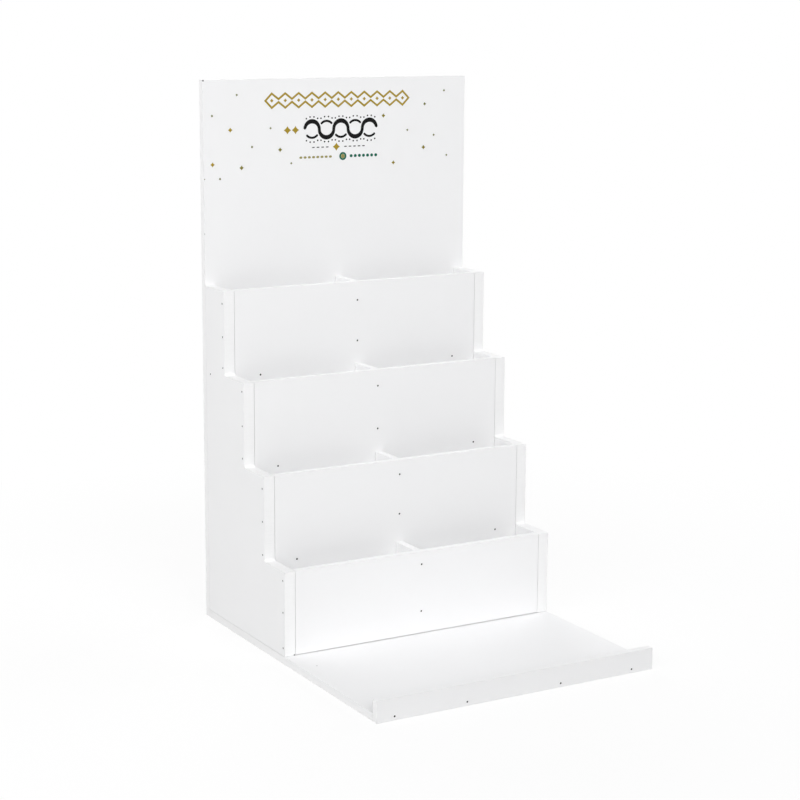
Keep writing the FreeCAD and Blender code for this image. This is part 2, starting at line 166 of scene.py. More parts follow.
def driven_nails(places, direction):
    """Each point is the nail's place, plus radius times a unit circle, plus depth along the direction."""
    radius, depth = nail_profile()
    along = np.array(direction, float)
    side = np.array([0, 0, 1.0]) if abs(along[2]) < 0.5 else np.array([1.0, 0, 0])
    other = np.cross(along, side)
    angle = np.linspace(0, 2 * np.pi, NAIL_SIDES, endpoint=False)
    circle = np.cos(angle)[:, None] * side + np.sin(angle)[:, None] * other
    shape = radius[:, None, None] * circle[None] + depth[:, None, None] * along
    return many_grids(np.array(places, float)[:, None, None, :] + shape[None])


print("a nail's profile has", len(nail_profile()[0]), "points")

# %% [markdown]
# Where the nails go.
#
# The maker nailed each front panel through both side panels, and through its own face into the edges of
# the pocket floors and of the small dividers. An even array of nails would be quicker to write, but no two
# tiers have quite the same ones, because they were set by eye. So each tier has its own drops, measured
# down from its top edge, and the rest is counted in from the edges of the boards.

# %% Nail places
SIDE_DROPS = ((17, 61, 102), (12, 57.5, 100.5), (16.5, 60, 104), (12, 54, 101))
DIVIDER_DROPS = ((25, 80.5), (21.5, 80), (19.5, 73.5), (17, 81))
DIVIDER_SHIFTS = np.array([-1.3, -1.4, 0, 1]) * MM
FLOOR_INSETS = np.array([(52.5, -50.5), (49, -49.5), (47, -48.5)]) * MM
LIP_INSETS = np.array([24, 124.5, -140, -32]) * MM
HIDDEN_INSET, HIDDEN_MARGIN, FLOOR_SIDE_DEPTH, FLOOR_LIFT = np.array([100, 30, 13, 2]) * MM
side_middle = sum(corner.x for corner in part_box("side_panel_right")) / 2
base_middle = sum(corner.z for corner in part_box("base_board")) / 2
lip_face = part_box("front_lip")[0].y


def side_places(x):
    """One nail into the top floor's edge, then three down each front panel's end."""
    places = [(x, header_face - FLOOR_SIDE_DEPTH, floor_heights[0])]
    for face, top, drops in zip(panel_faces, panel_tops, SIDE_DROPS):
        places += [(x, face + panel_thickness / 2, top - drop * MM) for drop in drops]
    return places


def both_sides(x):
    """A place to the left of the middle and its mirror image."""
    return (-x, x)


def from_edge(inset):
    """Counts in from the left edge, or from the right edge where the inset is negative."""
    return np.where(inset > 0, left_edge, right_edge) + inset


# Through each front panel go two nails into its divider, and two into the front edge of its pocket's
# floor. The lip's nails show too. The others are out of sight: from behind a panel into the back edge of
# the floor in front of it, through the back, and up through the base.
front_places = [(shift, face, top - drop * MM) for face, top, shift, drops
                in zip(panel_faces, panel_tops, DIVIDER_SHIFTS, DIVIDER_DROPS) for drop in drops]
front_places += [(x, face, height + FLOOR_LIFT) for face, height, insets
                 in zip(panel_faces, floor_heights, FLOOR_INSETS) for x in from_edge(insets)]
inner_places = [(x, panel_faces[tier] + panel_thickness, floor_heights[tier + 1])
                for tier in (0, 1) for x in both_sides(right_edge - HIDDEN_INSET)]
lip_places = [(x, lip_face, base_middle) for x in from_edge(LIP_INSETS)]
back_places = [(x, back_face, top - HIDDEN_MARGIN) for x in both_sides(side_middle) for top in panel_tops]
back_places += [(x, back_face, height) for x in both_sides(right_edge - HIDDEN_INSET)
                for height in (floor_heights[0], base_middle)]
base_places = [(x, y, 0) for x in both_sides(side_middle)
               for y in (header_face - HIDDEN_MARGIN, panel_faces[3] + HIDDEN_MARGIN)]
base_places += [(x, panel_faces[tier] + panel_thickness / 2, 0)
                for tier in (2, 3) for x in both_sides(right_edge - HIDDEN_INSET)]

print("nails: two rows of", len(side_places(0)), "at the sides,", len(front_places), "in front")

# %% Drive the nails
NAIL_ROWS = {
    "side_nails_left": (side_places(left_edge), (1, 0, 0)),
    "side_nails_right": (side_places(right_edge), (-1, 0, 0)),
    "front_nails": (front_places, (0, 1, 0)),
    "inner_nails": (inner_places, (0, -1, 0)),
    "lip_nails": (lip_places, (0, 1, 0)),
    "back_nails": (back_places, (0, -1, 0)),
    "base_nails": (base_places, (0, 0, 1)),
}
nail_pieces = []
for row_name, (places, direction) in NAIL_ROWS.items():
    turned = driven_nails(places, direction)
    nail_pieces.append(build_piece("turned_" + row_name, [turned], [row_name]))

# %% [markdown]
# Film shapes on the header.
#
# The header's colours are cut film, thin as paper and stuck on the board. Two kinds of shape make them
# all. A spot is a disc whose radius follows a power curve: with power 2 it is round, with power 1 a
# square on its point, and below 1 its sides draw in like a small star. A ribbon is a flat strip carried
# along a path. A pattern in the board's material could paint the same shapes, but real film stands proud
# of the board. So both shapes have a thickness and a rounded shoulder, and light catches their edges.

# %% Spots of film
FILM = 0.15 * MM
SPOT_SIDES = 24
SPOT_RINGS = np.array([0, 1, 1, 0.96, 0.6, 0])
SPOT_LIFTS = np.array([0, 0, 0.6, 0.95, 1, 1]) * FILM


def on_header(x, drop, lift):
    """A place on the header: across, down from the top edge, and out from the board."""
    return np.stack(np.broadcast_arrays(x, header_face - lift, header_top - drop), axis=-1)


def film_spots(across, drop, reach, power):
    """Radius = reach / (|cos|^power + |sin|^power)^(1/power), shrunk ring by ring over the shoulder."""
    angle = np.linspace(0, 2 * np.pi, SPOT_SIDES, endpoint=False)
    outline = (np.abs(np.cos(angle)) ** power + np.abs(np.sin(angle)) ** power) ** (-1 / power)
    across, drop, reach = (np.atleast_1d(np.array(size, float))[:, None, None] * MM
                           for size in (across, drop, reach))
    arm = SPOT_RINGS[None, :, None] * outline[None, None, :] * reach
    return many_grids(on_header(across + arm * np.cos(angle), drop - arm * np.sin(angle),
                                SPOT_LIFTS[None, :, None]))


# %% Ribbons of film
RIBBON_SIDES = np.array([-0.5, -0.5, -0.5, 0.5, 0.5, 0.5])
RIBBON_SHOULDER = np.array([0, 0, 0.08, -0.08, 0, 0])
RIBBON_LIFTS = np.array([0, 0.6, 1, 1, 0.6, 0]) * FILM


def film_ribbons(paths, widths, closed=False):
    """A flat profile carried along each path. Corners are mitred: the sum of the two side normals over
    one plus their product. Paths are (ribbons, points, 2) as across and drop, in millimetres."""
    paths = np.array(paths, float)
    widths = np.broadcast_to(np.array(widths, float), paths.shape[:2])
    ahead = np.roll(paths, -1, axis=1) - paths
    if not closed:
        ahead[:, -1] = ahead[:, -2]
    ahead /= np.linalg.norm(ahead, axis=2, keepdims=True)
    normal = np.stack([-ahead[..., 1], ahead[..., 0]], axis=-1)
    before = np.roll(normal, 1, axis=1)
    if not closed:
        before[:, 0] = normal[:, 0]
    mitre = (normal + before) / (1 + (normal * before).sum(axis=2, keepdims=True))
    profile = RIBBON_SIDES * widths[:, :, None] + RIBBON_SHOULDER
    carried = paths[:, :, None, :] + mitre[:, :, None, :] * profile[..., None]
    points = on_header(carried[..., 0] * MM, carried[..., 1] * MM, RIBBON_LIFTS)
    return many_grids(points, wrap_rows=closed)


def round_ends(points_along, length, width):
    """Widths that close to nothing along a quarter circle at both ends of a ribbon."""
    from_end = np.minimum(points_along, length - points_along)
    inside = np.clip(1 - from_end / (width / 2), 0, 1)
    return width * np.sqrt(1 - inside ** 2)


print("a spot has", SPOT_SIDES, "sides")

# %% [markdown]
# The printed ornaments.
#
# A garland of open diamonds runs along the top. Below it a bold wave and a thin one wind about each other
# between dotted lines, and two rows of short dashes with a small seal close the header. Loose confetti is
# scattered round them. Only the colours and the weight of each field follow the print of a real header.
# Each ornament is a few numbers in millimetres, so it can be made wider or bolder in one place.

# %% The garland
DIAMONDS, DIAMOND_PITCH, DIAMOND_REACH = 11, 20, 9.46
GARLAND_STROKE, GARLAND_DROP, BEAD_REACH, BEAD_POWER = 2.6, 28.5, 2.6, 0.9
CROSSING = GARLAND_STROKE * 0.73
diamond_middles = (np.arange(DIAMONDS) - (DIAMONDS - 1) / 2) * DIAMOND_PITCH
crest_places = np.stack([diamond_middles, diamond_middles + DIAMOND_PITCH / 2], axis=1).ravel()[:-1]
crest_heights = np.where(np.arange(2 * DIAMONDS - 1) % 2 == 0, DIAMOND_REACH, CROSSING)
end_tip = diamond_middles[-1] + DIAMOND_REACH
outline_across = np.concatenate([[-end_tip], crest_places, [end_tip], crest_places[::-1]])
outline_drop = GARLAND_DROP + np.concatenate([[0], -crest_heights, [0], crest_heights])
garland = [film_ribbons([np.stack([outline_across, outline_drop], axis=1)], GARLAND_STROKE, closed=True),
           film_spots(diamond_middles, np.full(DIAMONDS, GARLAND_DROP), np.full(DIAMONDS, BEAD_REACH),
                      BEAD_POWER)]
garland_piece = build_piece("header_garland", garland, ["header_print_gold"])

# %% The confetti
# Each piece is its place from the left edge, or from the right edge where it is negative, its drop, its
# reach, and how much of its colour is gold. The larger spots beside the wave count from the middle.
STAR_POWER = 0.8
CONFETTI = np.array([
    (49, 20, 1.9, 0), (13, 46.5, 2, 0), (39, 65.5, 3.3, 1), (98, 64.5, 1.8, 0), (70.5, 88.5, 2, 0),
    (112, 93.5, 3.1, 0.2), (13, 110, 3.3, 1), (128.5, 112, 1.8, 0), (55, 115.5, 3.3, 0.3),
    (23.5, 129, 1.9, 0.1), (1.4, 128.5, 0.9, 0), (-33.5, 19.5, 1.9, 0), (-64.5, 37.5, 2.5, 0),
    (-130, 52, 3, 0.4), (-92, 72.5, 1.9, 0), (-49.5, 80.5, 1.9, 0), (-66, 97, 3.2, 0.4),
    (-28.5, 109, 1.8, 0), (-114, 116.5, 2.9, 0.5)])
LARGE_SPOTS = np.array([(-77, 68, 5.5, 1), (-65, 68, 5.5, 1), (-3, 92, 5.5, 1)])
edge = np.where(CONFETTI[:, 0] > 0, left_edge, right_edge) / MM
scatter = np.concatenate([np.column_stack([edge + CONFETTI[:, 0], CONFETTI[:, 1:]]), LARGE_SPOTS])
confetti = film_spots(scatter[:, 0], scatter[:, 1], scatter[:, 2], STAR_POWER)
gold_share = np.repeat(scatter[:, 3], len(confetti[0]) // len(scatter))
confetti_piece = build_piece("header_confetti", [confetti], ["header_print_gold"],
                             tint=gold_share)

# %% The two waves and their dots
WAVE_MIDDLE, WAVE_DROP, WAVE_RADIUS, WAVE_STROKE, WAVE_ARCS = 4, 68, 11, 5.2, 5
THIN_STROKE, THIN_START, DOT_RING, DOT_REACH, ROUND = 3, 38, 17, 1.1, 2
LEAST_WEIGHT, SWELL, WAVE_POINTS, THIN_POINTS = 0.84, 0.3, 121, 41
turn = np.linspace(0, WAVE_ARCS, WAVE_POINTS)
arc = np.minimum(turn.astype(int), WAVE_ARCS - 1)
swing = np.pi * (1 - (turn - arc))
over = np.where(arc % 2 == 0, 1, -1)
wave_across = WAVE_MIDDLE + (arc - (WAVE_ARCS - 1) / 2) * 2 * WAVE_RADIUS + WAVE_RADIUS * np.cos(swing)
wave_drop = WAVE_DROP - over * WAVE_RADIUS * np.sin(swing)
wave_length = turn * np.pi * WAVE_RADIUS
weight = round_ends(wave_length, wave_length[-1], WAVE_STROKE) * (LEAST_WEIGHT + SWELL * np.sin(swing) ** 2)
wave = film_ribbons([np.stack([wave_across, wave_drop], axis=1)], weight[None])
arcs = np.arange(WAVE_ARCS)[:, None]
arc_middles = WAVE_MIDDLE + (arcs - (WAVE_ARCS - 1) / 2) * 2 * WAVE_RADIUS
thin_angle = np.radians(np.linspace(180 - THIN_START, THIN_START, THIN_POINTS))[None]
thin_drop = WAVE_DROP + np.where(arcs % 2 == 0, 1, -1) * WAVE_RADIUS * np.sin(thin_angle)
thin_paths = np.stack([arc_middles + WAVE_RADIUS * np.cos(thin_angle), thin_drop], axis=-1)
thin_length = (thin_angle[0, 0] - thin_angle[0]) * WAVE_RADIUS
thin_wave = film_ribbons(thin_paths, round_ends(thin_length, thin_length[-1], THIN_STROKE)[None])
dot_angle = np.radians(np.array([60, 80, 100, 120, -60, -80, -100, -120]))[None]
dot_across = arc_middles + DOT_RING * np.cos(dot_angle)
dot_drop = WAVE_DROP - DOT_RING * np.sin(dot_angle) + 0 * arcs
dots = film_spots(dot_across.ravel(), dot_drop.ravel(), np.full(dot_across.size, DOT_REACH), ROUND)
print("the wave is", round(float(wave_length[-1])), "mm long, with", dot_across.size, "dots")


# %% Rows of dashes
STITCH_DROP, STITCH_PITCH, STITCH_LENGTH, STITCH_WIDTH = 92, 7, 4, 1.3
STITCH_STEPS = (-6, -5, -4, -3, 1, 2, 3, 4, 5)
END_CURVE = np.array([0, 0.04, 0.15, 0.3, 0.5, 1])


def dash_row(middle, drop, pitch, steps, length, width):
    """Short ribbons with round ends, at whole steps from the middle of their row."""
    along = END_CURVE * width / 2
    along = np.concatenate([along, length - along[::-1]])
    starts = middle + np.array(steps) * pitch - length / 2
    across = starts[:, None] + along[None]
    paths = np.stack([across, np.full(across.shape, drop)], axis=-1)
    return film_ribbons(paths, round_ends(along, length, width)[None])


stitches = dash_row(WAVE_MIDDLE, STITCH_DROP, STITCH_PITCH, STITCH_STEPS, STITCH_LENGTH, STITCH_WIDTH)
wave_piece = build_piece("header_wave", [wave, thin_wave, dots, stitches],
                         ["header_print_black"])

# %% The last line
SEAL_PLACE, SEAL_DROP, SEAL_REACH, SEAL_CORE, SEAL_GAP = 7, 105, 5.5, 3, 0.1
DASH_PITCH, DASH_LENGTH, GREEN_WIDTH, OLIVE_WIDTH, SEAL_POINTS = 6.4, 4.4, 4.2, 3, 48
round_seal = np.linspace(0, 2 * np.pi, SEAL_POINTS, endpoint=False)
seal_middle = (SEAL_REACH + SEAL_CORE) / 2
seal_path = np.stack([SEAL_PLACE + seal_middle * np.cos(round_seal),
                      SEAL_DROP + seal_middle * np.sin(round_seal)], axis=1)
seal_ring = film_ribbons([seal_path], SEAL_REACH - SEAL_CORE - SEAL_GAP, closed=True)
seal_core = film_spots([SEAL_PLACE], [SEAL_DROP], [SEAL_CORE - SEAL_GAP], ROUND)
green_row = dash_row(SEAL_PLACE, SEAL_DROP, DASH_PITCH, range(2, 9), DASH_LENGTH, GREEN_WIDTH)
olive_row = dash_row(SEAL_PLACE, SEAL_DROP, DASH_PITCH, range(-10, -2), DASH_LENGTH, OLIVE_WIDTH)
green_piece = build_piece("header_last_line_green", [green_row, seal_ring],
                          ["header_print_green"])
olive_piece = build_piece("header_last_line_olive", [olive_row, seal_core],
                          ["header_print_olive"])

# %% [markdown]
# Small helpers for finishes.
#
# A finish is a network of small steps. The helpers below add a step, set its values and join it to the
# next one, so that each finish further down reads as a short list. An effect that several finishes use is
# a node group with named sockets, built once and placed in each of them with its own values.

# %% Node helpers
def feed(tree, sockets, values):
    """Joins each value that is another node's output to its socket, and sets a plain value there."""
    for socket, value in values.items():
        if isinstance(value, bpy.types.NodeSocket):
            tree.links.new(value, sockets[socket])
        else:
            sockets[socket].default_value = value


def step(tree, kind, values=None, **settings):
    """Adds a node. Its settings are given by name and its sockets' values by socket name or number."""
    node = tree.nodes.new(kind)
    for name, value in settings.items():
        setattr(node, name, value)
    feed(tree, node.inputs, values or {})
    return node


def maths(tree, operation, *values):
    """One sum, product or comparison of numbers."""
    return step(tree, "ShaderNodeMath", dict(enumerate(values)), operation=operation).outputs[0]


def spread(tree, value, low, high, to_low=0.0, to_high=1.0):
    """Maps a value from one range to another and holds it at the ends."""
    return step(tree, "ShaderNodeMapRange", {"Value": value, "From Min": low, "From Max": high,
                                             "To Min": to_low, "To Max": to_high}).outputs["Result"]


def mixed(tree, share, first, second, blend="MIX"):
    """Two colours mixed. Sockets 6 and 7 and output 2 are the colour ones of this node."""
    node = step(tree, "ShaderNodeMix", {0: share}, data_type="RGBA", blend_type=blend)
    feed(tree, node.inputs, {6: first, 7: second})
    return node.outputs[2]


def noise(tree, vector, scale, detail=2.0, roughness=0.5):
    return step(tree, "ShaderNodeTexNoise", {"Vector": vector, "Scale": scale, "Detail": detail,
                                             "Roughness": roughness}).outputs[0]


def scaled(tree, vector, factors):
    """A place multiplied by a factor along each axis, which stretches a pattern."""
    return step(tree, "ShaderNodeVectorMath", {0: vector, 1: factors}, operation="MULTIPLY").outputs[0]


def new_group(name, inputs, outputs):
    """A node group with named sockets. Inputs are name: (kind, value), outputs are name: kind."""
    group = bpy.data.node_groups.new(name, "ShaderNodeTree")
    for socket, (kind, value) in inputs.items():
        made = group.interface.new_socket(socket, in_out="INPUT", socket_type="NodeSocket" + kind)
        if value is not None:
            made.default_value = value
    for socket, kind in outputs.items():
        group.interface.new_socket(socket, in_out="OUTPUT", socket_type="NodeSocket" + kind)
    return group, group.nodes.new("NodeGroupInput").outputs, group.nodes.new("NodeGroupOutput").inputs


def placed(tree, group, values):
    """Puts a group into a material, with its own values."""
    node = step(tree, "ShaderNodeGroup", node_tree=group)
    feed(tree, node.inputs, values)
    return node.outputs


def new_material(name):
    """A material with its node tree and its main shader."""
    material = bpy.data.materials.new(name)
    material.use_nodes = True
    return material, material.node_tree, material.node_tree.nodes["Principled BSDF"]


# %% [markdown]
# What foam board looks like.
#
# The sheet's skin is smooth and matt, with a fine pebble that only shows in raking light, and it is never
# one even white: rolling and handling leave faint cloudy patches and a few grey specks. Where the saw has
# gone through, the foam's cells lie open, and each tooth has drawn a line across the thickness. Corners
# are the first to get grey and blunt, and the same grey line runs into the creases where boards meet, where
# it is painted shade. All of it is noise at several scales, read from the place on the board, so that it
# needs no picture and doesn't repeat. The three effects are groups, because more than one finish uses
# them: skin, sawn edge, and worn corner with painted shade in the creases.

# %% The sheet's skin
CLOUD_SCALE, PEBBLE_SCALE, SPECK_SCALE = 9.0, 1500.0, 38.0
RUB_STRETCH = (14, 14, 70)
SPECK_CHANCE, SPECK_REACH = 0.86, 0.03
SKIN_ROUGHNESS = (0.48, 0.6)
group, given, out = new_group(
    "sheet_skin",
    {"Vector": ("Vector", None), "Cloud": ("Float", 0.02), "Specks": ("Float", 0.3)},
    {"Tone": "Float", "Roughness": "Float", "Height": "Float"})
cloud = noise(group, given["Vector"], CLOUD_SCALE, 3.0, 0.55)
rub = noise(group, scaled(group, given["Vector"], RUB_STRETCH), 1.0, 3.0, 0.6)
pebble = noise(group, given["Vector"], PEBBLE_SCALE, 2.0)
cells = step(group, "ShaderNodeTexVoronoi", {"Vector": given["Vector"], "Scale": SPECK_SCALE})
speck_size = spread(group, cells.outputs["Color"], SPECK_CHANCE, 1.0, 0.0, SPECK_REACH)
speck = maths(group, "LESS_THAN", cells.outputs["Distance"], speck_size)
darkening = maths(group, "MULTIPLY", speck, given["Specks"])
clouded = maths(group, "MULTIPLY_ADD", maths(group, "SUBTRACT", cloud, 0.5), given["Cloud"], 1.0)
group.links.new(maths(group, "SUBTRACT", clouded, darkening), out["Tone"])
group.links.new(spread(group, rub, 0.35, 0.65, *SKIN_ROUGHNESS), out["Roughness"])
group.links.new(pebble, out["Height"])
skin_group = group
print("group", group.name, "has", len(group.nodes), "nodes")

# %% The sawn edge
SAW_ACROSS, SAW_ALONG, CELL_SCALE = 900.0, 60.0, 1700.0
SAW_SHARE, CELL_SHARE = 0.6, 0.4
SAWN_TONE = (0.975, 1.012)
group, given, out = new_group(
    "sawn_edge",
    {"Vector": ("Vector", None), "Stretch": ("Vector", (SAW_ACROSS, SAW_ALONG, SAW_ACROSS))},
    {"Tone": "Float", "Height": "Float"})
saw_lines = noise(group, scaled(group, given["Vector"], given["Stretch"]), 1.0, 1.0)
open_cells = step(group, "ShaderNodeTexVoronoi", {"Vector": given["Vector"], "Scale": CELL_SCALE},
                  feature="SMOOTH_F1")
pores = spread(group, open_cells.outputs["Distance"], 0.0, 0.45)
rough_face = maths(group, "MULTIPLY_ADD", saw_lines, SAW_SHARE,
                   maths(group, "MULTIPLY", pores, CELL_SHARE))
group.links.new(spread(group, rough_face, 0.25, 0.75, *SAWN_TONE), out["Tone"])
group.links.new(rough_face, out["Height"])
sawn_group = group
print("group", group.name, "has", len(group.nodes), "nodes")

# %% Worn corners, with painted shade in the creases
EDGE_AND_CREASE_REACH, PATCH_SCALE = 0.6 * MM, 160.0
group, given, out = new_group(
    "wear_and_crease_shade",
    {"Vector": ("Vector", None), "Reach": ("Float", EDGE_AND_CREASE_REACH)},
    {"Mask": "Float", "Normal": "Vector"})
rounded = step(group, "ShaderNodeBevel", {"Radius": given["Reach"]}, samples=4).outputs[0]
flat = group.nodes.new("ShaderNodeNewGeometry").outputs["True Normal"]
likeness = step(group, "ShaderNodeVectorMath", {0: rounded, 1: flat},
                operation="DOT_PRODUCT").outputs["Value"]
# Near every edge, outward or inward: on corners this is wear, and in the creases where boards meet it is
# painted shade.
near_edges_and_creases = spread(group, likeness, 0.995, 0.8)
patchy = spread(group, noise(group, given["Vector"], PATCH_SCALE, 3.0, 0.6), 0.38, 0.62)
group.links.new(maths(group, "MULTIPLY", near_edges_and_creases, patchy), out["Mask"])
group.links.new(rounded, out["Normal"])
wear_and_shade_group = group
print("group", group.name, "has", len(group.nodes), "nodes")

# %% [markdown]
# Small dents and painted shadow spots.
#
# A shop stand is knocked about. The header's left edge has three small dark dents. Two more dark spots are
# painted shadow: one on the deck at its front left by the lip, and one in the corner at the foot of the left
# side. Pieces of dirt could be modelled, but such a mark has no thickness. So each is a ball of space: where
# the board's surface passes through it, it darkens.

# %% Dents and painted shadow spots
# Each mark is its place and its reach in millimetres, and how dark it is. The first three are dents on the
# header's edge, and the last two are painted shadow at the deck's foot.
DENTS_AND_SHADOW_SPOTS = (((-199.2, 229.0, 725.6), 1.9, 0.85), ((-199.5, 229.4, 598.0), 0.7, 0.20),
         ((-199.5, 229.4, 525.6), 1.1, 0.45), ((-179.4, -48.6, 10.0), 1.2, 0.75),
         ((-186.5, -0.2, 11.0), 1.5, 0.80))
group, given, out = new_group("dents_and_painted_shadow_spots", {"Vector": ("Vector", None)}, {"Mask": "Float"})
total = 0.0
for place, reach, depth in DENTS_AND_SHADOW_SPOTS:
    away = step(group, "ShaderNodeVectorMath",
                {0: given["Vector"], 1: tuple(v * MM for v in place)}, operation="DISTANCE").outputs["Value"]
    darkness = spread(group, away, reach / 2 * MM, reach * MM, depth, 0.0)
    total = maths(group, "MAXIMUM", total, darkness)
group.links.new(total, out["Mask"])
dents_and_shadow_group = group
print("group", group.name, "has", len(DENTS_AND_SHADOW_SPOTS), "dents_and_shadows")


# %% [markdown]
# The white boards.
#
# One white serves all the boards, but a board has its skin on two faces only and a sawn edge on the other
# four. A board's surface direction says which is which: a front panel has its skin on the faces that look
# along Y, a side panel along X, and a floor along Z. So the finish is built once as a function and made
# three times, with the saw lines always running across the thickness.

# %% White board
WHITE = (0.900, 0.900, 0.905, 1)
SAWN_WHITE = (0.910, 0.910, 0.912, 1)
# Grey for worn corners and for the painted shade in the creases between boards.
GRIME_AND_SHADE_GREY = (0.50, 0.50, 0.48, 1)
# One dark for the dents and for the painted shadow spots at the deck's foot.
DENT_AND_SHADOW_DARK = (0.10, 0.10, 0.10, 1)
EDGE_GRIME_AND_SHADE, BOARD_GLOSS, SAWN_ROUGHER = 0.25, 0.35, 0.14
PEBBLE_DEPTH, PEBBLE_STRENGTH = 0.04 * MM, 0.35


def white_board(name, axis):
    """Skin where the surface looks along the axis, sawn edge elsewhere, then wear with painted shade in the
    creases, then dents and painted shadow spots.
    """
    material, tree, shader = new_material(name)
    where = tree.nodes.new("ShaderNodeTexCoord").outputs
    parts = step(tree, "ShaderNodeSeparateXYZ", {0: where["Normal"]}).outputs
    is_skin = spread(tree, maths(tree, "ABSOLUTE", parts[axis]), 0.6, 0.8)
    skin = placed(tree, skin_group, {"Vector": where["Object"]})
    stretch = [SAW_ACROSS] * 3
    stretch[axis] = SAW_ALONG
    sawn = placed(tree, sawn_group, {"Vector": where["Object"], "Stretch": stretch})
    wear_and_shade = placed(tree, wear_and_shade_group, {"Vector": where["Object"]})
    dents_and_shadows = placed(tree, dents_and_shadow_group, {"Vector": where["Object"]})
    skin_colour = mixed(tree, 1.0, WHITE, skin["Tone"], "MULTIPLY")
    sawn_colour = mixed(tree, 1.0, SAWN_WHITE, sawn["Tone"], "MULTIPLY")
    colour = mixed(tree, is_skin, sawn_colour, skin_colour)
    # Painted shade: the grey line runs into the creases where boards meet, as well as along the worn corners.
    grimed_and_shaded = mixed(tree, maths(tree, "MULTIPLY", wear_and_shade["Mask"], EDGE_GRIME_AND_SHADE), colour, GRIME_AND_SHADE_GREY)
    # Dents on the header, and painted shadow spots at the deck's foot.
    tree.links.new(mixed(tree, dents_and_shadows["Mask"], grimed_and_shaded, DENT_AND_SHADOW_DARK), shader.inputs["Base Color"])
    is_sawn = maths(tree, "SUBTRACT", 1.0, is_skin)
    roughness = maths(tree, "MULTIPLY_ADD", is_sawn, SAWN_ROUGHER, skin["Roughness"])
    tree.links.new(roughness, shader.inputs["Roughness"])
    height = step(tree, "ShaderNodeMix", {0: is_skin, 2: sawn["Height"], 3: skin["Height"]}).outputs[0]
    bump = step(tree, "ShaderNodeBump", {"Strength": PEBBLE_STRENGTH, "Distance": PEBBLE_DEPTH,
                                         "Height": height, "Normal": wear_and_shade["Normal"]})
    tree.links.new(bump.outputs[0], shader.inputs["Normal"])
    shader.inputs["Specular IOR Level"].default_value = BOARD_GLOSS
    return material


def dress(kinds, material):
    """Gives a finish to every board whose name starts with one of the kinds."""
    boards = [name for name in nodes if name.startswith(kinds)]
    for name in boards:
        nodes[name].data.materials.clear()
        nodes[name].data.materials.append(material)
    print(material.name, "on", len(boards), "boards")


ACROSS, FRONT, UP = 0, 1, 2
dress(("back_panel", "front_lip", "front_panel"), white_board("board_facing_front", FRONT))
dress(("side_panel", "centre_divider"), white_board("board_facing_side", ACROSS))
dress(("base_board", "pocket_floor"), white_board("board_lying_flat", UP))

# %% [markdown]
# Dark steel.
#
# The nail heads read as near-black dots. They are oxide-black steel wire: not quite metal-bright, with a
# fine grain and a little rub-off where the hammer hit. One black would make flat dots of them, so a noise
# mixes the oxide with the paler rubbed steel, and the rubbed patches are smoother too.

# %% Nail steel
OXIDE, RUBBED = (0.010, 0.010, 0.011, 1), (0.05, 0.048, 0.046, 1)
OXIDE_ROUGHNESS, RUBBED_ROUGHNESS = 0.62, 0.4
RUB_SCALE, GRAIN_SCALE, GRAIN_DEPTH = 900.0, 4000.0, 0.03 * MM
material, tree, shader = new_material("dark_nail_steel")
where = tree.nodes.new("ShaderNodeTexCoord").outputs["Object"]
rub_off = spread(tree, noise(tree, where, RUB_SCALE, 3.0, 0.6), 0.5, 0.75)
tree.links.new(mixed(tree, rub_off, OXIDE, RUBBED), shader.inputs["Base Color"])
steel_roughness = spread(tree, rub_off, 0.0, 1.0, OXIDE_ROUGHNESS, RUBBED_ROUGHNESS)
tree.links.new(steel_roughness, shader.inputs["Roughness"])
shader.inputs["Metallic"].default_value = 0.5
shader.inputs["Specular IOR Level"].default_value = 0.3
grain = step(tree, "ShaderNodeBump", {"Strength": 0.4, "Distance": GRAIN_DEPTH,
                                      "Height": noise(tree, where, GRAIN_SCALE, 2.0)})
tree.links.new(grain.outputs[0], shader.inputs["Normal"])
for piece in nail_pieces:
    piece.data.materials.append(material)
print("nail steel on", len(nail_pieces), "rows")

# %% [markdown]
# Ink and film.
#
# Cut film has a soft sheen, and its ink is a little uneven: slightly thinner in soft patches, with a fine
# grain. Five flat colours would look like paper, so one group gives a tone, a roughness and a height, and
# each colour uses it with its own ink. The confetti has two inks, and a number that each piece carries,
# its tint, says how much of the gold one it has.

# %% Film ink
INK_PATCHES, INK_GRAIN, GRAIN_SHARE = 220.0, 2600.0, 0.3
INK_ROUGHNESS = (0.34, 0.46)
group, given, out = new_group("film_ink", {"Vector": ("Vector", None), "Uneven": ("Float", 0.12)},
                              {"Tone": "Float", "Roughness": "Float", "Height": "Float"})
patches = noise(group, given["Vector"], INK_PATCHES, 3.0, 0.6)
fine = noise(group, given["Vector"], INK_GRAIN, 1.0)
patchiness = maths(group, "SUBTRACT", patches, 0.5)
blotch = maths(group, "MULTIPLY_ADD", fine, GRAIN_SHARE, patchiness)
group.links.new(maths(group, "MULTIPLY_ADD", blotch, given["Uneven"], 1.0), out["Tone"])
group.links.new(spread(group, patches, 0.3, 0.7, *INK_ROUGHNESS), out["Roughness"])
group.links.new(fine, out["Height"])
ink_group = group
print("group", group.name, "has", len(group.nodes), "nodes")

# %% A film finish
FILM_GLOSS, DULL_GLOSS, BLACK_GLOSS, FILM_GRAIN = 0.2, 0.12, 0.08, 0.02 * MM


